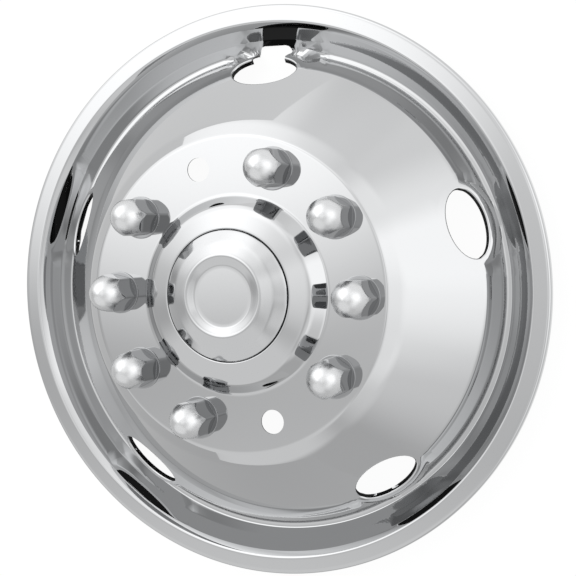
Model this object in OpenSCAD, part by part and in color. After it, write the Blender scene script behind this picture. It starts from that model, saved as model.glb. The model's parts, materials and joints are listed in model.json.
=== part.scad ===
// Stainless wheel simulator for a ten lug truck wheel, lying face up on its back.
// One pressed liner carries eight nut covers and a pop out centre cap.
// The wheel's axis is Z, and heights in the sections below count from the lug flange's face.

/* [Wheel fit] */
// Diameter of the circle that the wheel's lugs stand on
bolt_circle_d = 225; // [205:1:240]
// Diameter of the two open holes that the mounting studs pass through
stud_hole_d = 20.7; // [16:0.1:26]

/* [Liner] */
// Thickness of the stainless sheet
sheet_t = 1; // [0.7:0.1:1.2]
// Width of flat lug flange between the push on rings and the dish's first bend
flange_margin = 2.8; // [2.2:0.1:5]
// Width of the soft bend outside the lug flange
soft_w = 12; // [9:0.5:15]
// Drop over that soft bend
soft_drop = 9.5; // [7:0.5:12]
// Width of the dish's straight slope
dish_w = 55.4; // [48:0.2:62]
// Drop over that slope
dish_h = 56.5; // [50:0.5:64]
// Width of the steep foot between the dish's edge and the channel's floor
foot_w = 10.1; // [8:0.1:13]
// Drop over that foot
foot_h = 24; // [18:0.5:28]
// Width of the channel's flat floor
floor_w = 5; // [4:0.5:7]
// Width of the lower part of the channel's outer wall
wall_low_w = 8; // [6:0.1:10]
// Height of that lower part
wall_low_h = 7; // [5:0.1:9]
// Width of the steeper part above it, which ends at the lip
wall_top_w = 9.2; // [7:0.1:12]
// Height of that steeper part
wall_top_h = 12.4; // [10:0.1:15]
// Width of the lip, from its inner edge to the liner's outer diameter
lip_w = 20.3; // [17:0.1:24]
// Distance from the lip's inner edge to its crown
crown_w = 10; // [8:0.1:12]
// Height of the crown over the lip's inner edge
lip_crown = 6.2; // [4:0.2:8]
// Height of the lip's turned down outer edge
lip_edge_h = 8; // [7:0.5:12]

/* [Hub] */
// Width of flat lug flange between the hub and the push on rings
hub_margin = 6.7; // [4:0.1:9]
// Width of the hub's flank
hub_side_w = 10.3; // [8:0.1:13]
// Height of that flank over the lug flange
hub_side_h = 12.4; // [9:0.2:15]
// Width of the hub's top, from its flank to the opening that the centre cap fills
hub_top_w = 18.4; // [14:0.1:22]
// Rise of the hub's top towards that opening
hub_top_h = 5.1; // [3:0.1:7]
// Depth of the collar turned down inside the opening
collar_h = 10.7; // [8:0.1:12]

/* [Centre cap] */
// Gap all round between the cap and the hub's opening
cap_gap = 0.6; // [0.3:0.1:1]
// Height of the cap's crown over the hub opening's edge
cap_crown_h = 10; // [6:0.2:14]
// Width of the cap's crowned ring, from its edge to the recess in its middle
cap_ring_w = 28.5; // [24:0.5:36]
// Depth of that recess
recess_h = 2.8; // [1:0.2:4]
// Wire diameter of the spring ring that holds the cap
ring_wire_d = 2.4; // [1.8:0.1:2.6]

/* [Hand holes] */
// Length of each hand hole round the wheel
hand_hole_l = 61; // [50:1:66]
// Width of each hand hole down the dish's slope
hand_hole_w = 37.5; // [30:0.5:40]
// Distance from the dish's outer edge in to the hand holes' centres
hand_inset = 6.7; // [5:0.1:9]
// Depth of the rim turned in round each hand hole
hand_rim_h = 5; // [2:0.5:7]
// Width of the pad round each hand hole
hand_pad_w = 7; // [5:0.5:8]
// Width of the valve notch, out of the top hand hole
notch_w = 31; // [24:1:36]
// How far the valve notch runs up the channel's outer wall
notch_reach = 3.2; // [1:0.1:5]
// Radius of the notch's two corners at that end
notch_corner_r = 5; // [3:0.5:8]

/* [Nut covers] */
// Width across the flats of each nut cover's hexagon
nut_w = 30; // [26:0.5:33]
// Height of each nut cover over the lug flange
nut_h = 39.5; // [34:0.5:48]
// How far the small flange at each nut cover's foot stands out past the flats
nut_flange_w = 3.5; // [2.8:0.1:5]
// Thickness of that flange
nut_flange_t = 1; // [0.8:0.1:1.6]
// Thickness of each nut cover's wall
nut_wall = 0.8; // [0.6:0.1:1.2]
// Length of the sleeve behind the lug flange
sleeve_l = 5; // [4:0.5:8]
// Width of the push on ring that holds each nut cover
push_ring_w = 6.4; // [5:0.1:8]
// Thickness of that ring
push_ring_t = 0.8; // [0.6:0.1:1.2]

/* [Hidden] */
$fn = 96;

steel = [0.80, 0.81, 0.82];
satin_steel = [0.72, 0.73, 0.75];
spring_steel = [0.45, 0.46, 0.48];

// Lug positions count clockwise from +X, and two opposite ones are the open stud holes.
lug_count = 10;
lug_pitch = 360 / lug_count;
covered_lugs = [0, 1, 3, 4, 5, 6, 8, 9];
open_lugs = [2, 7];
// Turn of each nut cover about its own axis, as pressed in by hand
cover_turn = [0, -2, 5, 9, 12, 15, 3, 6];
hand_count = 5;
hand_pitch = 360 / hand_count;
hand_start = 90;

// Clearances: sleeve in its hole, ring on its sleeve
seat_gap = 0.3;
press_gap = 0.05;
sleeve_inset = 0.4;
sleeve_r = nut_w / 2 - sleeve_inset;
cover_hole_r = sleeve_r + seat_gap;
push_ring_r = sleeve_r + push_ring_w;

// Radii run outwards and inwards from the lugs, and each piece of the section adds its width
bolt_r = bolt_circle_d / 2;
flange_r = bolt_r + push_ring_r + flange_margin;
soft_r = flange_r + soft_w;
edge_r = soft_r + dish_w;
floor_r = edge_r + foot_w;
wall_r = floor_r + floor_w;
bead_r = wall_r + wall_low_w;
lip_r = bead_r + wall_top_w;
crown_r = lip_r + crown_w;
rim_r = lip_r + lip_w;
hub_r = bolt_r - push_ring_r - hub_margin;
shoulder_r = hub_r - hub_side_w;
cap_hole_r = shoulder_r - hub_top_w;

// Heights add up in the same way, from the lug flange's face
edge_z = -soft_drop - dish_h;
floor_z = edge_z - foot_h;
bead_z = floor_z + wall_low_h;
lip_z = bead_z + wall_top_h;
crown_z = lip_z + lip_crown;
lip_fall = 1.2;
edge_bottom_z = crown_z - lip_edge_h;
seat_z = hub_side_h + hub_top_h;
collar_foot_z = seat_z - collar_h;
// The channel's underside lies on the ground, and the lug flange's face is this high
flange_z = sheet_t - floor_z;

// Bend radii of the press tool at each corner of the section
bend_tight = 1.2;
bend_small = 2.5;
bend_lip = 3.5;
bend_bead = 6;
bend_edge = 6;
bend_crown = 12;
bend_soft = 40;
hem_r = sheet_t + 0.1;
hem_h = 4;
// Share of a side that one bend may take
bend_room = 0.6;
// Largest turn of one facet of a rounded corner
arc_step = 10;
// How far cutting solids reach past what they cut
past = 2;

// Corner p of a section, rounded with radius f between its neighbours a and b,
// or with the largest radius that leaves room on each neighbouring side for the next bend
function unit(v) = v / norm(v);
function turned(v, k) = [v[0] * cos(k) - v[1] * sin(k), v[0] * sin(k) + v[1] * cos(k)];
function corner(a, p, b, f) =
    let (u = unit(a - p), v = unit(b - p),
         turn = 180 - acos(max(-1, min(1, u * v))),
         r = min(f, bend_room * min(norm(a - p), norm(b - p)) / tan(turn / 2)),
         c = p + unit(u + v) * r / cos(turn / 2),
         from_c = p + u * r * tan(turn / 2) - c,
         way = cross(from_c, v - u) > 0 ? 1 : -1,
         steps = max(1, ceil(turn / arc_step)))
    [for (i = [0 : steps]) c + turned(from_c, way * turn * i / steps)];

// Section line through corners [r, z, bend radius], with every bend drawn out
function xy(p) = [p[0], p[1]];
function bent(path) =
    [for (i = [0 : len(path) - 1])
        let (p = path[i], ends = i == 0 || i == len(path) - 1)
        each (ends || p[2] == 0 ? [xy(p)] : corner(xy(path[i - 1]), xy(p), xy(path[i + 1]), p[2]))];

// The same line moved by d to its right, which is the sheet's other face
function right_of(a, b) = let (u = unit(b - a)) [u[1], -u[0]];
function beside(line, d) =
    [for (i = [0 : len(line) - 1])
        let (last = len(line) - 1,
             m = right_of(line[max(0, i - 1)], line[max(1, i)]),
             n = right_of(line[min(last - 1, i)], line[min(last, i + 1)]),
             mid = unit(m + n))
        line[i] + mid * d / (mid * n)];
function reversed(list) = [for (i = [len(list) - 1 : -1 : 0]) list[i]];

// Section of a revolved sheet that is closed between its two faces
module revolved_sheet(path, t) {
    face = bent(path);
    rotate_extrude() polygon(concat(face, reversed(beside(face, t))));
}

// Section of the liner's front face, from the collar's foot to the lip's lower edge
slope = dish_h / dish_w;
tilt = atan(slope);
liner_path = [
    [cap_hole_r, collar_foot_z, 0],
    [cap_hole_r, seat_z, bend_tight],
    [shoulder_r, hub_side_h, bend_crown],
    [hub_r, 0, bend_small],
    [flange_r, 0, bend_small],
    [soft_r, -soft_drop, bend_soft],
    [edge_r, edge_z, bend_edge],
    [floor_r, floor_z, bend_small],
    [wall_r, floor_z, bend_small],
    [bead_r, bead_z, bend_bead],
    [lip_r, lip_z, bend_small],
    [crown_r, crown_z, bend_crown],
    [rim_r, crown_z - lip_fall, bend_lip],
    [rim_r, edge_bottom_z, 0]];
liner_face = bent(liner_path);
liner_back = beside(liner_face, sheet_t);

// Everything that lies under the liner's front face, and under its back
below = 10;
deep = floor_z - below;
skirt_r = crown_r - crown_w * 0.4;
module front_fill() {
    rotate_extrude() polygon(concat(liner_face,
        [[skirt_r, edge_bottom_z], [skirt_r, deep], [cap_hole_r, deep]]));
}
module back_fill() {
    rotate_extrude() polygon(concat(liner_back,
        [[rim_r - sheet_t, edge_bottom_z - past], [skirt_r + past, edge_bottom_z - past],
         [skirt_r + past, deep - past], [cap_hole_r - past, deep - past],
         [cap_hole_r - past, collar_foot_z], [cap_hole_r, collar_foot_z]]));
}

// Upright prism whose outline is an oval, longest along Y
oval_sides = 36;
module oval(half_l, half_w, z_low, z_high) {
    translate([0, 0, z_low]) linear_extrude(z_high - z_low)
        polygon([for (k = [0 : oval_sides - 1])
            [half_w * cos(k * 360 / oval_sides), half_l * sin(k * 360 / oval_sides)]]);
}

// The dish's slope carried on outwards, over each hand hole's pad
hand_r = edge_r - hand_inset;
function slope_z(r) = edge_z - (r - edge_r) * slope;
hand_z = slope_z(hand_r);
pad_half_l = hand_hole_l / 2 + hand_pad_w;
pad_half_w = (hand_hole_w / 2 + hand_pad_w) * cos(tilt);
module slope_fill(down) {
    r0 = hand_r - hand_hole_w;
    r1 = hand_r + hand_hole_w;
    rotate_extrude() polygon([[r0, slope_z(r0) - down], [r1, slope_z(r1) - down],
        [r1, deep - down], [r0, deep - down]]);
}
// A pad lies a hair under the slope, so that the two faces never coincide
pad_sink = 0.05;
rim_sink = 0.4;
module pad_fill(inset) {
    intersection() {
        slope_fill(inset / cos(tilt) + pad_sink);
        translate([hand_r, 0, 0]) oval(pad_half_l - inset, pad_half_w - inset, deep - inset, 0);
    }
}
module at_hand_holes() {
    for (i = [0 : hand_count - 1]) rotate(hand_start + i * hand_pitch) children();
}
module on_slope() {
    translate([hand_r, 0, hand_z]) rotate([0, tilt, 0]) children();
}

// Rim turned in round a hand hole, square to the slope
module hand_rim() {
    intersection() {
        slope_fill(rim_sink);
        on_slope() oval(hand_hole_l / 2 + sheet_t, hand_hole_w / 2 + sheet_t,
            -hand_rim_h, 2 * past);
    }
}
module hand_cut() {
    on_slope() oval(hand_hole_l / 2, hand_hole_w / 2, -hand_rim_h - past, 4 * past);
}

// Notch for the valve stem, open to the hand hole and rounded at its far end
notch_r = wall_r + notch_reach;
module valve_notch() {
    from_r = hand_r - past;
    h = -deep + slope_z(hand_r);
    translate([0, -notch_w / 2, deep]) {
        translate([from_r, 0, 0]) cube([notch_r - notch_corner_r - from_r, notch_w, h]);
        translate([from_r, notch_corner_r, 0])
            cube([notch_r - from_r, notch_w - 2 * notch_corner_r, h]);
        for (y = [notch_corner_r, notch_w - notch_corner_r])
            translate([notch_r - notch_corner_r, y, 0]) cylinder(h = h, r = notch_corner_r);
    }
}

// Nut covers: sleeve through the flange, hexagon over it, and a round nose
nose_inset = 0.2;
nose_r = nut_w / 2 - nose_inset;
nose_z = nut_h - nose_r;
nut_corner_r = nut_w / 2 / cos(30);
nut_flange_r = nut_w / 2 + nut_flange_w;
chamfer_h = 4;
module at_lug(k) {
    rotate(-k * lug_pitch) translate([bolt_r, 0, flange_z]) children();
}
module nut_nose(inset) {
    chamfer_z = nose_z - chamfer_h;
    cylinder(h = chamfer_z, r = nut_corner_r + nose_inset - inset);
    translate([0, 0, chamfer_z])
        cylinder(h = chamfer_h, r1 = nut_corner_r + nose_inset - inset, r2 = nose_r - inset);
    translate([0, 0, nose_z]) sphere(r = nose_r - inset);
}
module nut_form(inset) {
    intersection() {
        nut_nose(inset);
        cylinder(h = nut_h, r = nut_corner_r - inset / cos(30), $fn = 6);
    }
}
module nut_cover(i) {
    color(satin_steel) at_lug(covered_lugs[i]) rotate(-cover_turn[i]) difference() {
        union() {
            nut_form(0);
            rotate_extrude() polygon(concat([[0, 0]],
                bent([[nut_flange_r, 0, 0],
                      [nut_flange_r, nut_flange_t, nut_flange_t * 0.6],
                      [nut_w / 2, nut_flange_t, 0]]),
                [[0, nut_flange_t]]));
            translate([0, 0, -sleeve_l]) cylinder(h = sleeve_l, r = sleeve_r);
        }
        difference() {
            nut_form(nut_wall);
            translate([0, 0, -past]) cylinder(h = past + nut_flange_t, r = nut_w);
        }
        translate([0, 0, -sleeve_l - past])
            cylinder(h = sleeve_l + past + nut_flange_t, r = sleeve_r - nut_wall);
    }
}

// Push on rings that grip the sleeves behind the liner, with teeth between their slots
tooth_count = 6;
tooth_slot_w = 3;
tooth_share = 0.5;
module push_ring(i) {
    tooth_r = sleeve_r + push_ring_w * tooth_share;
    color(spring_steel) at_lug(covered_lugs[i])
        translate([0, 0, -sheet_t - push_ring_t])
        difference() {
            cylinder(h = push_ring_t, r = push_ring_r);
            translate([0, 0, -past])
                cylinder(h = push_ring_t + 2 * past, r = sleeve_r + press_gap);
            for (j = [0 : tooth_count - 1]) rotate(j * 360 / tooth_count)
                translate([0, -tooth_slot_w / 2, -past])
                    cube([tooth_r, tooth_slot_w, push_ring_t + 2 * past]);
        }
}

module liner() {
    color(steel) translate([0, 0, flange_z]) difference() {
        union() {
            difference() {
                union() {
                    front_fill();
                    at_hand_holes() pad_fill(0);
                }
                back_fill();
                at_hand_holes() pad_fill(sheet_t);
            }
            at_hand_holes() hand_rim();
            lip_hem();
        }
        at_hand_holes() hand_cut();
        rotate(hand_start) valve_notch();
        for (k = open_lugs) at_flange(k) cylinder(h = sheet_t + 2 * past, d = stud_hole_d);
        for (k = covered_lugs) at_flange(k) cylinder(h = sheet_t + 2 * past, r = cover_hole_r);
    }
}
module at_flange(k) {
    rotate(-k * lug_pitch) translate([bolt_r, 0, -sheet_t - past]) children();
}

// Flattened hem that stiffens the lip's lower edge
module lip_hem() {
    rotate_extrude() {
        translate([rim_r - hem_r, edge_bottom_z]) circle(r = hem_r, $fn = 32);
        translate([rim_r - 2 * hem_r, edge_bottom_z]) square([2 * hem_r, hem_h]);
    }
}

// Centre cap: crowned, with a shallow recess, and a skirt grooved for the spring ring
cap_r = cap_hole_r - cap_gap;
cap_top_z = seat_z + cap_crown_h;
recess_z = cap_top_z - recess_h;
recess_r = cap_r - cap_ring_w;
recess_ramp = 7;
cap_lift = 0.1;
wire_r = ring_wire_d / 2;
groove_depth = 0.9;
groove_r = cap_r - groove_depth;
groove_play = 0.3;
groove_flat = wire_r - groove_play;
groove_slope = 0.8;
catch_gap = 0.2;
wire_z = collar_foot_z - catch_gap - wire_r;
skirt_end_h = 4;
skirt_end_z = wire_z - skirt_end_h;
cap_waist_share = 0.55;
cap_waist_r = recess_r + recess_ramp + (cap_r - recess_r - recess_ramp) * cap_waist_share;
cap_waist_z = cap_top_z - cap_crown_h * 0.38;
bend_recess = 7;
module centre_cap() {
    color(steel) translate([0, 0, flange_z]) revolved_sheet([
        [0, recess_z, 0],
        [recess_r, recess_z, bend_recess],
        [recess_r + recess_ramp, cap_top_z, bend_recess],
        [cap_waist_r, cap_waist_z, bend_crown],
        [cap_r, seat_z + cap_lift, bend_tight],
        [cap_r, wire_z + groove_flat + groove_slope, 0],
        [groove_r, wire_z + groove_flat, 0],
        [groove_r, wire_z - groove_flat, 0],
        [cap_r, wire_z - groove_flat - groove_slope, 0],
        [cap_r, skirt_end_z, 0]], sheet_t);
}

// Split wire ring in the cap's groove, which snaps under the collar's foot
split_angle = 14;
module cap_spring_ring() {
    color(spring_steel) translate([0, 0, flange_z + wire_z]) rotate(split_angle / 2)
        rotate_extrude(angle = 360 - split_angle)
            translate([groove_r + wire_r + press_gap, 0]) circle(r = wire_r, $fn = 24);
}

liner();
centre_cap();
cap_spring_ring();
nut_cover(0);  // nut_cover_1
nut_cover(1);  // nut_cover_2
nut_cover(2);  // nut_cover_3
nut_cover(3);  // nut_cover_4
nut_cover(4);  // nut_cover_5
nut_cover(5);  // nut_cover_6
nut_cover(6);  // nut_cover_7
nut_cover(7);  // nut_cover_8
push_ring(0);  // push_ring_1
push_ring(1);  // push_ring_2
push_ring(2);  // push_ring_3
push_ring(3);  // push_ring_4
push_ring(4);  // push_ring_5
push_ring(5);  // push_ring_6
push_ring(6);  // push_ring_7
push_ring(7);  // push_ring_8
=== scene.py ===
import json
import math
import bpy
from mathutils import Matrix, Vector

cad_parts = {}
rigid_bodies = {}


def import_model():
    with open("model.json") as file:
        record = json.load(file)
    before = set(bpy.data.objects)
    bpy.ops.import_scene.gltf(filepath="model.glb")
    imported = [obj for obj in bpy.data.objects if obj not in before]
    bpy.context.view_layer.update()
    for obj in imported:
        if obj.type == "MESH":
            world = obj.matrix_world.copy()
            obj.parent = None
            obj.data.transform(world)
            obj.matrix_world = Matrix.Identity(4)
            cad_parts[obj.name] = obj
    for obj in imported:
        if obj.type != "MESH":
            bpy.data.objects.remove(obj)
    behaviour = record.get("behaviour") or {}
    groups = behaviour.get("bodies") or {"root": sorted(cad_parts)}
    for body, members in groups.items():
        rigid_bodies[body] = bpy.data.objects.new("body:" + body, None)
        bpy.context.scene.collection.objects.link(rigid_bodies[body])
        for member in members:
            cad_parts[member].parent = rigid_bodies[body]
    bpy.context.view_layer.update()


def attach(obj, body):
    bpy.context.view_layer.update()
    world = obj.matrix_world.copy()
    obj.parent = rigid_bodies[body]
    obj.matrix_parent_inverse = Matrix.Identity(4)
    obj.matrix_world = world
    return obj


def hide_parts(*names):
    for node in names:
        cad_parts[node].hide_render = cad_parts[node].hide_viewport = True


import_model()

MM = 0.001

# Camera: 81.25 mm lens at the photograph's place, looking down on the cover as it lies
cam_data = bpy.data.cameras.new("camera")
cam_data.lens, cam_data.sensor_width = 81.25, 36.0
cam_data.clip_start, cam_data.clip_end = 0.05, 50.0
camera = bpy.data.objects.new("camera", cam_data)
bpy.context.scene.collection.objects.link(camera)
look = Vector((-0.38554, -0.04641, -0.92152)).normalized()
up = Vector((-0.01778, 0.99892, -0.04287))
right = look.cross(up).normalized()
up = right.cross(look)
camera.matrix_world = Matrix((
    (right.x, up.x, -look.x, 0.46914),
    (right.y, up.y, -look.y, 0.05737),
    (right.z, up.z, -look.z, 1.09525),
    (0, 0, 0, 1)))
bpy.context.scene.camera = camera
bpy.context.scene.view_settings.view_transform = "Standard"

# Sizes in millimetres, as in the part's source, with heights from the lug flange's face
FLANGE_Z = 91.0
SHEET = 1.0
BOLT_R = 112.5
STUD_HOLE_R = 10.35
COVER_HOLE_R = 14.9
# Lugs are numbered clockwise from +X, and each cover has its own turn in degrees
LUG_COUNT, LUG_PITCH = 10, 36
LUGS_COVERED = (0, 1, 3, 4, 5, 6, 8, 9)
LUGS_OPEN = (2, 7)
COVER_TURN = (0, -2, 5, 9, 12, 15, 3, 6)
# Hand holes are numbered counter-clockwise from the top one, which lies at +Y
TOP = 90
HAND_COUNT, HAND_PITCH = 5, 72
HAND_R = 197.0
HAND_L, HAND_W = 30.5, 18.75
RIM_H, RIM_BEND = 5.0, 1.6
PAD_W = 7.0
SLOPE = 56.5 / 55.4
TILT = math.atan(SLOPE)
EDGE_R, EDGE_Z = 203.7, -66.0
NOTCH_X, NOTCH_Y, NOTCH_BEND = 15.5, 222.0, 5.0
# Section of the liner's outer face: radius, height, bend radius
LINER = ((56.1, 6.8, 0), (56.1, 17.5, 1.2), (74.5, 12.4, 12), (84.8, 0, 3), (136.3, 0, 3),
         (148.3, -9.5, 40), (203.7, -66, 18), (213.8, -90, 2.5), (218.8, -90, 2.5),
         (226.8, -83, 6), (236, -70.6, 2.5), (240.8, -66.4, 3), (256.3, -66.4, 3),
         (256.3, -75.5, 1.05), (254.1, -75.5, 1.05), (254.1, -70.4, 0))

# Where marks are given, a straight longer than LONG is cut at END_CUT from its ends, which keeps the
# bends' shading off it, and a mark closer than MARK_GAP to its ends is left out
LONG, END_CUT, MARK_GAP = 5, 1.4, 0.2
# Bends tighter than these radii take steps that are so many times wider
TIGHT_R, TIGHT_STEP = 1.5, 2.4
SMALL_R, SMALL_STEP = 4, 1.3


def facets(turn, f, step):
    """Number of facets of a bend, from its angle, its radius and the step in degrees."""
    wider = TIGHT_STEP if f < TIGHT_R else SMALL_STEP if f < SMALL_R else 1
    return max(2, math.ceil(math.degrees(turn) / (step * wider)))


def corner(a, p, b, f, step):
    """Points of the arc of radius f that rounds the corner p between a and b."""
    a, p, b = Vector(a), Vector(p), Vector(b)
    u, v = (a - p).normalized(), (b - p).normalized()
    turn = math.pi - math.acos(max(-1, min(1, u.dot(v))))
    f = min(f, 0.49 * min((a - p).length, (b - p).length) / math.tan(turn / 2))
    c = p + (u + v).normalized() * f / math.cos(turn / 2)
    start = p + u * f * math.tan(turn / 2) - c
    way = 1 if start.x * (v - u).y - start.y * (v - u).x > 0 else -1
    n = facets(turn, f, step)
    out = []
    for i in range(n + 1):
        k = way * turn * i / n
        out.append((c.x + start.x * math.cos(k) - start.y * math.sin(k),
                    c.y + start.x * math.sin(k) + start.y * math.cos(k)))
    return out


def bent(path, step, longest=4.0, marks=()):
    """Section line with its bends drawn out, in steps of so many degrees. Straights are cut up evenly
    or, where marks are given, only near their ends and at the marked radii."""
    pts = [tuple(path[0][:2])]
    for i in range(1, len(path) - 1):
        a, p, b = path[i - 1], path[i], path[i + 1]
        pts += corner(a[:2], p[:2], b[:2], p[2], step) if p[2] else [tuple(p[:2])]
    pts.append(tuple(path[-1][:2]))
    out = [pts[0]]
    for q in pts[1:]:
        p = out[-1]
        d = math.dist(p, q)
        if d < 1e-4:
            continue
        if marks:
            cuts = [t for t in (END_CUT / d, 1 - END_CUT / d) if d > LONG]
            cuts += [(m - p[0]) / (q[0] - p[0]) for m in marks if p[0] + MARK_GAP < m < q[0] - MARK_GAP]
            cuts = sorted(cuts) + [1.0]
        else:
            n = max(1, math.ceil(d / longest))
            cuts = [k / n for k in range(1, n + 1)]
        out += [(p[0] + (q[0] - p[0]) * t, p[1] + (q[1] - p[1]) * t) for t in cuts]
    return out


def smooth(x):
    """Eased rise from 0 to 1 while x goes from 0 to 1."""
    x = max(0.0, min(1.0, x))
    return x * x * (3 - 2 * x)


def new_object(name, verts, faces):
    """Mesh object from points in millimetres over the lug flange's face."""
    mesh = bpy.data.meshes.new(name)
    mesh.from_pydata([(x * MM, y * MM, (z + FLANGE_Z) * MM) for x, y, z in verts], [], faces)
    mesh.validate()
    mesh.polygons.foreach_set("use_smooth", [True] * len(mesh.polygons))
    obj = bpy.data.objects.new(name, mesh)
    bpy.context.scene.collection.objects.link(obj)
    return obj


def thicken(obj, thickness):
    """Gives a one-sided skin the sheet's thickness, behind its face, and keeps its edges crisp."""
    m = obj.modifiers.new("sheet", "SOLIDIFY")
    m.thickness = thickness * MM
    m.offset = -1.0
    m.use_even_offset = True
    m.use_rim = True
    m.use_quality_normals = True
    mesh = bpy.data.meshes.new_from_object(obj.evaluated_get(bpy.context.evaluated_depsgraph_get()))
    obj.modifiers.clear()
    obj.data = mesh
    obj.data.set_sharp_from_angle(angle=math.radians(40))
    return obj


# Liner: a revolved grid of one column a degree, with a window round each hole that is filled by a
# patch of rings. The grid has rows at the marks in the windows, so that the holes' outlines stay round.
COLS = 360
# Windows: half their width or their radii from and to, and half their number of columns
LUG_WINDOW, LUG_HALF = 19, 11
HAND_WINDOW, HAND_HALF = (174, 216.3), 14
NOTCH_WINDOW = (174, 226.2)
LUG_MARKS = [BOLT_R - LUG_WINDOW + LUG_WINDOW * i / 4 for i in range(9)]
HAND_MARKS = [HAND_WINDOW[0] + 4.6 * i for i in range(6)]
base = bent(LINER, 10.0, marks=LUG_MARKS + HAND_MARKS)
first_out = next(i for i, p in enumerate(base) if p[0] > 60)


def base_z(r):
    """Height of the plain revolved face, which is single-valued from the hub to the lip."""
    for i in range(first_out, len(base) - 1):
        if base[i][0] <= r <= base[i + 1][0]:
            a, b = base[i], base[i + 1]
            return a[1] + (b[1] - a[1]) * (r - a[0]) / max(1e-9, b[0] - a[0])
    return base[-1][1]


def slope_z(r):
    """Height of the dish's slope, carried on outwards over the hand holes' pads."""
    return EDGE_Z - (r - EDGE_R) * SLOPE


def ellipse_ray(a, b, s, c):
    """Distance from an oval's centre to its edge, along the ray with sine s and cosine c."""
    return 1 / math.sqrt((c / a) ** 2 + (s / b) ** 2)


def notch_ray(s, c):
    """Distance from the top hole's centre to the notch's outline along a ray, or 0."""
    if s <= 0:
        return 0.0
    top = NOTCH_Y - HAND_R
    t = min(top / s, NOTCH_X / abs(c) if abs(c) > 1e-9 else 1e9)
    x, y = abs(t * c), t * s
    cx, cy = NOTCH_X - NOTCH_BEND, top - NOTCH_BEND
    if x > cx and y > cy:
        k = abs(c) * cx + s * cy
        t = k + math.sqrt(max(0.0, k * k - cx * cx - cy * cy + NOTCH_BEND ** 2))
    return t


PAD_L, PAD_R = HAND_L + PAD_W, (HAND_W + PAD_W) * math.cos(TILT)
HOLE_L, HOLE_R = HAND_L, HAND_W * math.cos(TILT)
# The pad's lift fades between these shares of the way from the hole's centre to the pad's edge
PAD_EDGE_IN, PAD_EDGE_OUT = 1 - 3.0 / 30, 1 + 1.6 / 30


def dish_z(x, y):
    """Height over a point (x along the wheel's rim, y outwards) near a hand hole."""
    r = math.hypot(x, y)
    z = base_z(r)
    d = math.hypot(x / PAD_L, (y - HAND_R) / PAD_R)
    pad = 1 - smooth((d - PAD_EDGE_IN) / (PAD_EDGE_OUT - PAD_EDGE_IN))
    return z + pad * max(0.0, slope_z(r) - z)


def flange_z(x, y):
    """Height over a point of the lug flange, which is flat."""
    return 0.0


verts, faces = [], []
grid = {}
taken = set()


def grid_vertex(row, col):
    """Number of the grid's point at a row and column, made when first asked for."""
    key = (row, col % COLS)
    if key not in grid:
        r, z = base[row]
        a = math.radians(key[1])
        grid[key] = len(verts)
        verts.append((r * math.cos(a), r * math.sin(a), z))
    return grid[key]


def row_near(r):
    """Row of the grid whose radius is nearest."""
    return min(range(first_out, len(base)), key=lambda i: abs(base[i][0] - r))


def window(col, half, row0, row1):
    """Marks a window's cells as taken and lists the grid points round its border."""
    for row in range(row0, row1):
        for c in range(col - half, col + half):
            taken.add((row, c % COLS))
    loop = [(row0, col + c) for c in range(half, -half, -1)]
    loop += [(r, col - half) for r in range(row0, row1)]
    loop += [(row1, col + c) for c in range(-half, half)]
    loop += [(r, col + half) for r in range(row1, row0, -1)]
    return loop


def turned(x, y, z, spin):
    """Point at +Y turned to where its hole lies, spin being the turn's cosine and sine."""
    ct, st = spin
    return (x * ct - y * st, x * st + y * ct, z)


def patch(col, half, row0, row1, centre_r, rings, height, snap=()):
    """Fills a window with rings of points on rays from a hole's outline to the window's border."""
    loop = window(col, half, row0, row1)
    turn = math.radians(col - TOP)
    spin = (math.cos(turn), math.sin(turn))
    local = []
    for row, c in loop:
        grid_vertex(row, c)
        r = base[row][0]
        a = math.radians(c - col + TOP)
        local.append((r * math.cos(a), r * math.sin(a) - centre_r))
    angles = [math.atan2(y, x) for x, y in local]
    for want in snap:
        near = min(range(len(angles)), key=lambda i: abs(angles[i] - want))
        angles[near] = want
    lines, ids = [], []
    for (x1, y1), ang, (row, c) in zip(local, angles, loop):
        cc, ss = math.cos(ang), math.sin(ang)
        line = [(x, y, height(x, y + centre_r)) for x, y in rings(cc, ss, x1, y1)]
        row_ids = []
        for x, y, z in line:
            row_ids.append(len(verts))
            verts.append(turned(x, y + centre_r, z, spin))
        row_ids.append(grid[(row, c % COLS)])
        lines.append((cc, ss, line[0]))
        ids.append(row_ids)
    n = len(ids)
    for i in range(n):
        a, b = ids[i], ids[(i + 1) % n]
        for k in range(len(a) - 1):
            faces.append((a[k], a[k + 1], b[k + 1], b[k]))
    return ids, lines, spin


def round_rings(radius, count=6):
    """Rings from a round hole to the window's border."""
    def rings(cc, ss, x1, y1):
        reach = math.hypot(x1, y1)
        out = []
        for k in range(count):
            f = k / count
            t = radius + (reach - radius) * k / count
            out.append((cc * t * (1 - f) + x1 * t / reach * f, ss * t * (1 - f) + y1 * t / reach * f))
        return out
    return rings


lug_rows = (row_near(BOLT_R - LUG_WINDOW), row_near(BOLT_R + LUG_WINDOW))
for k in range(LUG_COUNT):
    radius = STUD_HOLE_R if k in LUGS_OPEN else COVER_HOLE_R
    patch(-LUG_PITCH * k, LUG_HALF, *lug_rows, BOLT_R, round_rings(radius), flange_z)

# Rings round a hand hole, as shares of the pad's width from the hole to the pad's edge
RING_STEPS = (0.0, 0.18, 0.36, 0.5, 0.6, 0.69, 0.78, 0.86, 0.94, 1.02, 1.1, 1.2)
# Rings from there to the window's border
OUTER_RINGS = 5


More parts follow.
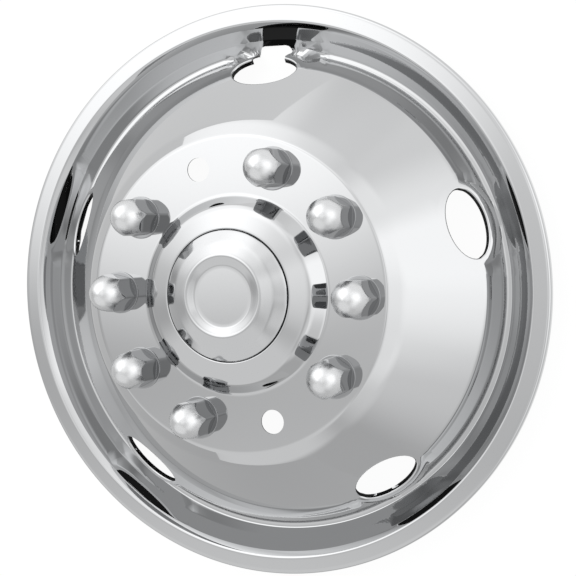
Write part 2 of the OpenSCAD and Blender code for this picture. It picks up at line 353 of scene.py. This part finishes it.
def hand_rings(notched):
    """Rings from a hand hole's rolled edge, or the notch's edge, to the window's border."""
    def rings(cc, ss, x1, y1):
        hole = ellipse_ray(HOLE_L, HOLE_R, ss, cc)
        pad = ellipse_ray(PAD_L, PAD_R, ss, cc)
        reach = math.hypot(x1, y1)
        # The rolled edge takes the first stretch of the surface outside the hole
        start = hole + (pad - hole) * RIM_BEND / PAD_W
        if notched:
            cut = notch_ray(ss, cc)
            if cut > hole:
                start = cut
        stops = [hole + (pad - hole) * q for q in RING_STEPS]
        stops = [s for s in stops if start + 0.05 < s < reach - 1.0]
        want = len(RING_STEPS) - 1
        # Each ray needs as many rings as the next, so the widest gaps are halved
        while len(stops) < want:
            marks = [start] + stops + [reach]
            gaps = [marks[i + 1] - marks[i] for i in range(len(marks) - 1)]
            i = max(range(len(gaps)), key=gaps.__getitem__)
            stops.insert(i, (marks[i] + marks[i + 1]) / 2)
        last = stops[-1]
        more = [last + (reach - last) * k / OUTER_RINGS for k in range(1, OUTER_RINGS)]
        out = []
        for t in [start] + stops[:want] + more:
            f = smooth((t - last) / max(1e-6, reach - last)) if t > last else 0.0
            out.append((cc * t * (1 - f) + x1 / reach * t * f, ss * t * (1 - f) + y1 / reach * t * f))
        return out
    return rings


# Facets of the rolled edge's quarter turn
ROLL_STEPS = 5
join = math.atan2(HOLE_R * math.sqrt(1 - (NOTCH_X / HOLE_L) ** 2), NOTCH_X)
normal = Vector((0, math.sin(TILT), math.cos(TILT)))
for k in range(HAND_COUNT):
    notched = k == 0
    rows = [row_near(r) for r in (NOTCH_WINDOW if notched else HAND_WINDOW)]
    snap = (join, math.pi - join) if notched else ()
    col = TOP + HAND_PITCH * k
    ids, lines, spin = patch(col, HAND_HALF, *rows, HAND_R, hand_rings(notched), dish_z, snap)
    # Rolled edge and the rim turned in behind it
    strip = []
    for (cc, ss, (sx, sy, sz)), row_ids in zip(lines, ids):
        hole = ellipse_ray(HOLE_L, HOLE_R, ss, cc)
        if notched and notch_ray(ss, cc) > hole + 0.02:
            strip.append(None)
            continue
        x, y = cc * hole, ss * hole + HAND_R
        p = Vector((x, y, slope_z(math.hypot(x, y))))
        out = Vector((sx, sy + HAND_R, sz)) - p
        out = out - normal * out.dot(normal)
        reach = out.length
        out.normalize()
        centre = p + out * reach - normal * reach
        points = []
        for step in range(1, ROLL_STEPS + 1):
            a = math.pi / 2 * step / ROLL_STEPS
            points.append(centre + (normal * math.cos(a) - out * math.sin(a)) * reach)
        points += [p - normal * depth for depth in (reach + (RIM_H - reach) * 0.5, RIM_H)]
        column = [row_ids[0]]
        for q in points:
            column.append(len(verts))
            verts.append(turned(q.x, q.y, q.z, spin))
        strip.append(column)
    for i in range(len(strip)):
        a, b = strip[i], strip[(i + 1) % len(strip)]
        if a is None or b is None:
            continue
        for j in range(len(a) - 1):
            faces.append((a[j + 1], a[j], b[j], b[j + 1]))

for row in range(len(base) - 1):
    for c in range(COLS):
        if (row, c) not in taken:
            faces.append((grid_vertex(row, c), grid_vertex(row + 1, c),
                          grid_vertex(row + 1, c + 1), grid_vertex(row, c + 1)))
liner = new_object("liner_skin", verts, faces)
thicken(liner, SHEET)
# The channel's underside stays flat on the ground
for v in liner.data.vertices:
    v.co.z = max(v.co.z, 0.0)

# Centre cap, a revolved pressing with a grooved skirt
CAP_COLS = 240
CAP = ((0, 24.7, 0), (27, 24.7, 7), (34, 27.5, 9), (45.6, 23.7, 16), (55.5, 17.6, 1.3),
       (55.5, 6.3, 0), (54.6, 5.5, 0), (54.6, 3.7, 0), (55.5, 2.9, 0), (55.5, 1.4, 0))


def revolved(name, path, cols):
    """Surface revolved round the wheel's axis. The path starts on the axis, at the surface's tip."""
    verts, faces = [], []
    for r, z in path[1:]:
        for c in range(cols):
            a = 2 * math.pi * c / cols
            verts.append((r * math.cos(a), r * math.sin(a), z))
    for i in range(len(path) - 2):
        here, there = i * cols, (i + 1) * cols
        for c in range(cols):
            d = (c + 1) % cols
            faces.append((here + c, there + c, there + d, here + d))
    tip = len(verts)
    verts.append((0, 0, path[0][1]))
    faces += [(tip, c, (c + 1) % cols) for c in range(cols)]
    return new_object(name, verts, faces)


cap = revolved("cap_skin", bent(CAP, 6.0, 3.0), CAP_COLS)
thicken(cap, SHEET)

# Split spring ring
WIRE_R, RING_R, WIRE_Z, SPLIT = 1.2, 55.85, 5.4, math.radians(14)
ROUND_STEPS, WIRE_STEPS = 180, 12
verts, faces = [], []
for i in range(ROUND_STEPS + 1):
    a = SPLIT / 2 + (2 * math.pi - SPLIT) * i / ROUND_STEPS
    for j in range(WIRE_STEPS):
        b = 2 * math.pi * j / WIRE_STEPS
        r = RING_R + WIRE_R * math.cos(b)
        verts.append((r * math.cos(a), r * math.sin(a), WIRE_Z + WIRE_R * math.sin(b)))
for i in range(ROUND_STEPS):
    for j in range(WIRE_STEPS):
        k = (j + 1) % WIRE_STEPS
        here, there = i * WIRE_STEPS, (i + 1) * WIRE_STEPS
        faces.append((here + j, there + j, there + k, here + k))
faces.append(tuple(range(WIRE_STEPS)))
faces.append(tuple(range(len(verts) - 1, len(verts) - 1 - WIRE_STEPS, -1)))
ring = new_object("spring_ring_wire", verts, faces)

# Nut covers: hexagon with rounded edges, cut by a satin egg-shaped nose
NUT_W, NUT_H, NUT_SHEET = 15.0, 39.5, 0.8
NOSE_W, NOSE_Z = 17.6, 13.0
NUT_COLS = 144
# Rounding of the hexagon's corners, and of the line where the nose cuts the hexagon
EDGE, CREASE = 0.5, 0.35
# Height up to which the hexagon's foot flares out, and how strongly
FLARE_H, FLARE = 1.5, 0.8
# Sleeve and small flange below the hexagon: radius and height
NUT_FOOT = ((14.6, -5.0), (14.6, -0.2), (15.2, 0.0), (18.0, 0.0), (18.38, 0.08), (18.5, 0.3),
            (18.5, 0.75), (18.4, 0.93), (18.2, 1.0), (17.7, 1.01))


def soft_min(a, b, k):
    """The smaller of two values, with the change from one to the other rounded over k."""
    h = max(k - abs(a - b), 0.0) / k
    return min(a, b) - h * h * k / 4


def nose_radius(z):
    """Radius of the nose, or a large one below its widest height."""
    if z <= NOSE_Z:
        return 99.0
    return NOSE_W * math.sqrt(max(0.0, 1 - ((z - NOSE_Z) / (NUT_H - NOSE_Z)) ** 2))


def hex_radius(a):
    """Hexagon with small round edges, corners on the local X axis."""
    across = abs((a + math.pi / 6) % (math.pi / 3) - math.pi / 6)
    flat = NUT_W / math.cos(math.pi / 6 - across)
    return soft_min(flat, NUT_W / math.cos(math.pi / 6) - EDGE * 0.35, EDGE * 1.6)


def nut_heights():
    """Heights of the hexagon's and the nose's rows, closest where the two meet."""
    rows = [1.05, 1.25, 1.6, 3.5, 7, 10.5, 13.5, 15.5]
    rows += [16.5 + 12.0 * i / 22 for i in range(22)]
    low = math.asin((28.5 - NOSE_Z) / (NUT_H - NOSE_Z))
    rows += [NOSE_Z + (NUT_H - NOSE_Z) * math.sin(low + (math.pi / 2 - low) * i / 14) for i in range(14)]
    return rows


def nut_cover(name, lug, turn):
    """Cover over one lug. Its nose's faces get material 1, and the others get 0."""
    where = math.radians(-LUG_PITCH * lug)
    spin = math.radians(-LUG_PITCH * lug - turn)
    cx, cy = BOLT_R * math.cos(where), BOLT_R * math.sin(where)
    section = NUT_FOOT + tuple((0, z) for z in nut_heights())
    verts, faces, nose = [], [], []
    for r, z in section:
        flare = (FLARE_H - z) ** 2 * FLARE if z < FLARE_H else 0.0
        for c in range(NUT_COLS):
            a = 2 * math.pi * c / NUT_COLS
            reach = r or soft_min(hex_radius(a), nose_radius(z), CREASE) + flare
            verts.append((cx + reach * math.cos(a + spin), cy + reach * math.sin(a + spin), z))
    for i in range(len(section) - 1):
        here, there = i * NUT_COLS, (i + 1) * NUT_COLS
        z = (section[i][1] + section[i + 1][1]) / 2
        for c in range(NUT_COLS):
            d = (c + 1) % NUT_COLS
            faces.append((here + c, here + d, there + d, there + c))
            nose.append(int(nose_radius(z) < hex_radius(2 * math.pi * (c + 0.5) / NUT_COLS)))
    top, tip = len(verts) - NUT_COLS, len(verts)
    verts.append((cx, cy, NUT_H))
    faces += [(top + c, top + (c + 1) % NUT_COLS, tip) for c in range(NUT_COLS)]
    nose += [1] * NUT_COLS
    obj = new_object(name, verts, faces)
    obj.data.polygons.foreach_set("material_index", nose)
    return thicken(obj, NUT_SHEET)


nuts = [nut_cover("nut_cover_skin_%d" % (i + 1), LUGS_COVERED[i], COVER_TURN[i]) for i in range(8)]


# Materials
def new_node(nodes, kind, operation=None):
    """Shader node of a kind, set to its operation where it has one."""
    node = nodes.new("ShaderNode" + kind)
    if operation:
        node.operation = operation
    return node


def ramp(nodes, start, end, low, high, eased=True):
    """Node that takes start to low and end to high."""
    node = nodes.new("ShaderNodeMapRange")
    if eased:
        node.interpolation_type = "SMOOTHSTEP"
    node.inputs["From Min"].default_value, node.inputs["From Max"].default_value = start, end
    node.inputs["To Min"].default_value, node.inputs["To Max"].default_value = low, high
    return node


def steel(name, colour, low, high, wave, grain, scale):
    """Polished sheet. Its roughness goes from low to high in clouds, the finer the larger scale is,
    and its surface ripples as strongly as wave says, the finer the larger grain is."""
    mat = bpy.data.materials.new(name)
    mat.use_nodes = True
    nodes, links = mat.node_tree.nodes, mat.node_tree.links
    shader = nodes["Principled BSDF"]
    shader.inputs["Base Color"].default_value = (*colour, 1)
    shader.inputs["Metallic"].default_value = 1.0
    coords = new_node(nodes, "TexCoord")
    cloud = new_node(nodes, "TexNoise")
    cloud.inputs["Scale"].default_value = scale
    cloud.inputs["Detail"].default_value = 3
    gloss = ramp(nodes, 0.35, 0.65, low, high, eased=False)
    links.new(coords.outputs["Object"], cloud.inputs["Vector"])
    links.new(cloud.outputs["Fac"], gloss.inputs["Value"])
    links.new(gloss.outputs["Result"], shader.inputs["Roughness"])
    ripple = new_node(nodes, "TexNoise")
    ripple.inputs["Scale"].default_value = grain
    ripple.inputs["Detail"].default_value = 1
    bump = new_node(nodes, "Bump")
    bump.inputs["Strength"].default_value = wave
    bump.inputs["Distance"].default_value = 0.0002
    links.new(coords.outputs["Object"], ripple.inputs["Vector"])
    links.new(ripple.outputs["Fac"], bump.inputs["Height"])
    links.new(bump.outputs["Normal"], shader.inputs["Normal"])
    return mat


liner_mat = steel("liner_steel", (0.436, 0.44, 0.445), 0.015, 0.035, 0.05, 30, 14)
cap_mat = steel("cap_steel", (0.436, 0.44, 0.445), 0.05, 0.08, 0.05, 30, 14)
# The covers' hexagon and nose are one steel in two copies: the nose's satin roughness is real, and its
# brighter colour is a painted sheen
cover_mat = steel("cover_steel", (0.28, 0.284, 0.29), 0.02, 0.05, 0.02, 60, 40)
nose_sheen_mat = steel("cover_nose_satin_painted_sheen", (0.55, 0.555, 0.56), 0.26, 0.32, 0.02, 60, 40)
wire_mat = steel("spring_steel", (0.42, 0.425, 0.44), 0.25, 0.38, 0.2, 400, 60)


def dress(obj, mat):
    """Gives a piece its material and slot, and lets it ride on the body."""
    obj.data.materials.clear()
    obj.data.materials.append(mat)
    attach(obj, "root")


dress(liner, liner_mat)
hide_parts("liner")
dress(cap, cap_mat)
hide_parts("centre_cap")
dress(ring, wire_mat)
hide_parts("cap_spring_ring")
for i, obj in enumerate(nuts):
    # The faces' choice of material is read before the materials are cleared, and given back after
    nose = [face.material_index for face in obj.data.polygons]
    dress(obj, cover_mat)
    obj.data.materials.append(nose_sheen_mat)
    obj.data.polygons.foreach_set("material_index", nose)
    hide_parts("nut_cover_%d" % (i + 1))
for i in range(len(nuts)):
    obj = bpy.data.objects["push_ring_%d" % (i + 1)]
    obj.data.materials.clear()
    obj.data.materials.append(wire_mat)

# Floor: white, with the cover's soft shadow kept
FLOOR_HALF = 4
# Share of plain white that the camera sees, the rest being the lit floor
FLOOR_WHITE = 0.96
# Brightness that the polished sheet sees: its middle, and how far it rises and falls round the cover
FLOOR_GLOW, FLOOR_SIDE, BRIGHT_SIDE = 1.05, 0.28, math.radians(66)
# It fades in between these distances from the axis, because the cover shades what it lies on
UNDER_IN, UNDER_OUT, UNDER_GLOW = 0.2, 0.27, 0.03
floor_mesh = bpy.data.meshes.new("floor")
corners = [(x * FLOOR_HALF, y * FLOOR_HALF, 0) for x, y in ((-1, -1), (1, -1), (1, 1), (-1, 1))]
floor_mesh.from_pydata(corners, [], [(0, 1, 2, 3)])
floor = bpy.data.objects.new("floor", floor_mesh)
bpy.context.scene.collection.objects.link(floor)
floor_mat = bpy.data.materials.new("floor")
floor_mat.use_nodes = True
nodes, links = floor_mat.node_tree.nodes, floor_mat.node_tree.links
shader = nodes["Principled BSDF"]
shader.inputs["Base Color"].default_value = (0.8, 0.8, 0.8, 1)
shader.inputs["Roughness"].default_value = 0.9
shader.inputs["Specular IOR Level"].default_value = 0.0
place = new_node(nodes, "TexCoord")
ray = new_node(nodes, "LightPath")
way = new_node(nodes, "VectorMath", "NORMALIZE")
side = new_node(nodes, "VectorMath", "DOT_PRODUCT")
side.inputs[1].default_value = (math.cos(BRIGHT_SIDE), math.sin(BRIGHT_SIDE), 0)
level = new_node(nodes, "Math", "MULTIPLY_ADD")
level.inputs[1].default_value = FLOOR_SIDE
level.inputs[2].default_value = FLOOR_GLOW
reach = new_node(nodes, "VectorMath", "LENGTH")
under = ramp(nodes, UNDER_IN, UNDER_OUT, UNDER_GLOW, 1.0)
lit = new_node(nodes, "Math", "MULTIPLY")
white = new_node(nodes, "Mix")
white.data_type = "FLOAT"
white.inputs["B"].default_value = 1.0
glow = new_node(nodes, "Emission")
share = new_node(nodes, "Math", "MULTIPLY_ADD")
share.inputs[1].default_value = FLOOR_WHITE
mix = new_node(nodes, "MixShader")
links.new(place.outputs["Object"], way.inputs[0])
links.new(way.outputs["Vector"], side.inputs[0])
links.new(side.outputs["Value"], level.inputs[0])
links.new(place.outputs["Object"], reach.inputs[0])
links.new(reach.outputs["Value"], under.inputs["Value"])
links.new(under.outputs["Result"], lit.inputs[0])
links.new(level.outputs["Value"], lit.inputs[1])
links.new(ray.outputs["Is Camera Ray"], white.inputs["Factor"])
links.new(lit.outputs["Value"], white.inputs["A"])
links.new(white.outputs["Result"], glow.inputs["Strength"])
links.new(ray.outputs["Is Camera Ray"], share.inputs[0])
links.new(ray.outputs["Is Glossy Ray"], share.inputs[2])
links.new(share.outputs["Value"], mix.inputs["Fac"])
links.new(shader.outputs["BSDF"], mix.inputs[1])
links.new(glow.outputs["Emission"], mix.inputs[2])
links.new(mix.outputs["Shader"], nodes["Material Output"].inputs["Surface"])
floor_mesh.materials.append(floor_mat)

# Studio round the cover: its plain level, and soft patches that are brighter or darker
STUDIO_LEVEL = 0.791
# Each patch: degrees round from +X, degrees up, where it starts and stops fading, and its amount
LOBES = (
    (123.4, 26.0, 0.5, 59.0, 1.664),
    (32.4, 0.0, 27.9, 59.7, 0.911),
    (162.0, 62.5, 1.0, 15.0, 0.850),
    (-37.5, 47.4, 10.0, 22.0, -0.373),
    (-115.1, 33.6, 31.3, 44.1, 0.420),
    (104.2, 7.0, 65.6, 77.6, -0.345),
    (9.1, 45.0, 37.8, 53.2, 0.367),
    (-36.9, 28.3, 4.1, 36.7, 0.474),
    (99.6, 64.5, 0.5, 46.3, 0.498),
)
world = bpy.data.worlds.new("studio")
bpy.context.scene.world = world
world.use_nodes = True
nodes, links = world.node_tree.nodes, world.node_tree.links
nodes.clear()
coords = new_node(nodes, "TexCoord")


def lobe(around, above, inner, outer, amount):
    """A soft patch of light round a direction, with its place and size in degrees."""
    around, above = math.radians(around), math.radians(above)
    dot = new_node(nodes, "VectorMath", "DOT_PRODUCT")
    dot.inputs[1].default_value = Vector((
        math.cos(above) * math.cos(around), math.cos(above) * math.sin(around), math.sin(above)))
    fade = ramp(nodes, math.cos(math.radians(outer)), math.cos(math.radians(inner)), 0.0, amount)
    links.new(coords.outputs["Generated"], dot.inputs[0])
    links.new(dot.outputs["Value"], fade.inputs["Value"])
    return fade.outputs["Result"]


patches = [lobe(*spec) for spec in LOBES]
bright = patches[0]
for value in patches[1:]:
    add = new_node(nodes, "Math", "ADD")
    links.new(bright, add.inputs[0])
    links.new(value, add.inputs[1])
    bright = add.outputs["Value"]
total = new_node(nodes, "Math", "ADD")
total.inputs[1].default_value = STUDIO_LEVEL
# Straight into the camera the world is plain white
ray = new_node(nodes, "LightPath")
pick = new_node(nodes, "Mix")
pick.data_type = "FLOAT"
pick.inputs["B"].default_value = 1.0
sky = new_node(nodes, "Background")
sky.inputs["Color"].default_value = (1, 1, 1, 1)
world_out = new_node(nodes, "OutputWorld")
links.new(bright, total.inputs[0])
links.new(ray.outputs["Is Camera Ray"], pick.inputs["Factor"])
links.new(total.outputs["Value"], pick.inputs["A"])
links.new(pick.outputs["Result"], sky.inputs["Strength"])
links.new(sky.outputs["Background"], world_out.inputs["Surface"])

# Softbox that casts the shadow
light = bpy.data.lights.new("softbox", "AREA")
light.shape = "DISK"
light.size = 1.4
light.energy = 22
softbox = bpy.data.objects.new("softbox", light)
bpy.context.scene.collection.objects.link(softbox)
softbox.location = (-0.9, 0.9, 1.8)
softbox.rotation_euler = (-softbox.location).to_track_quat("-Z", "Y").to_euler()
softbox.visible_glossy = False
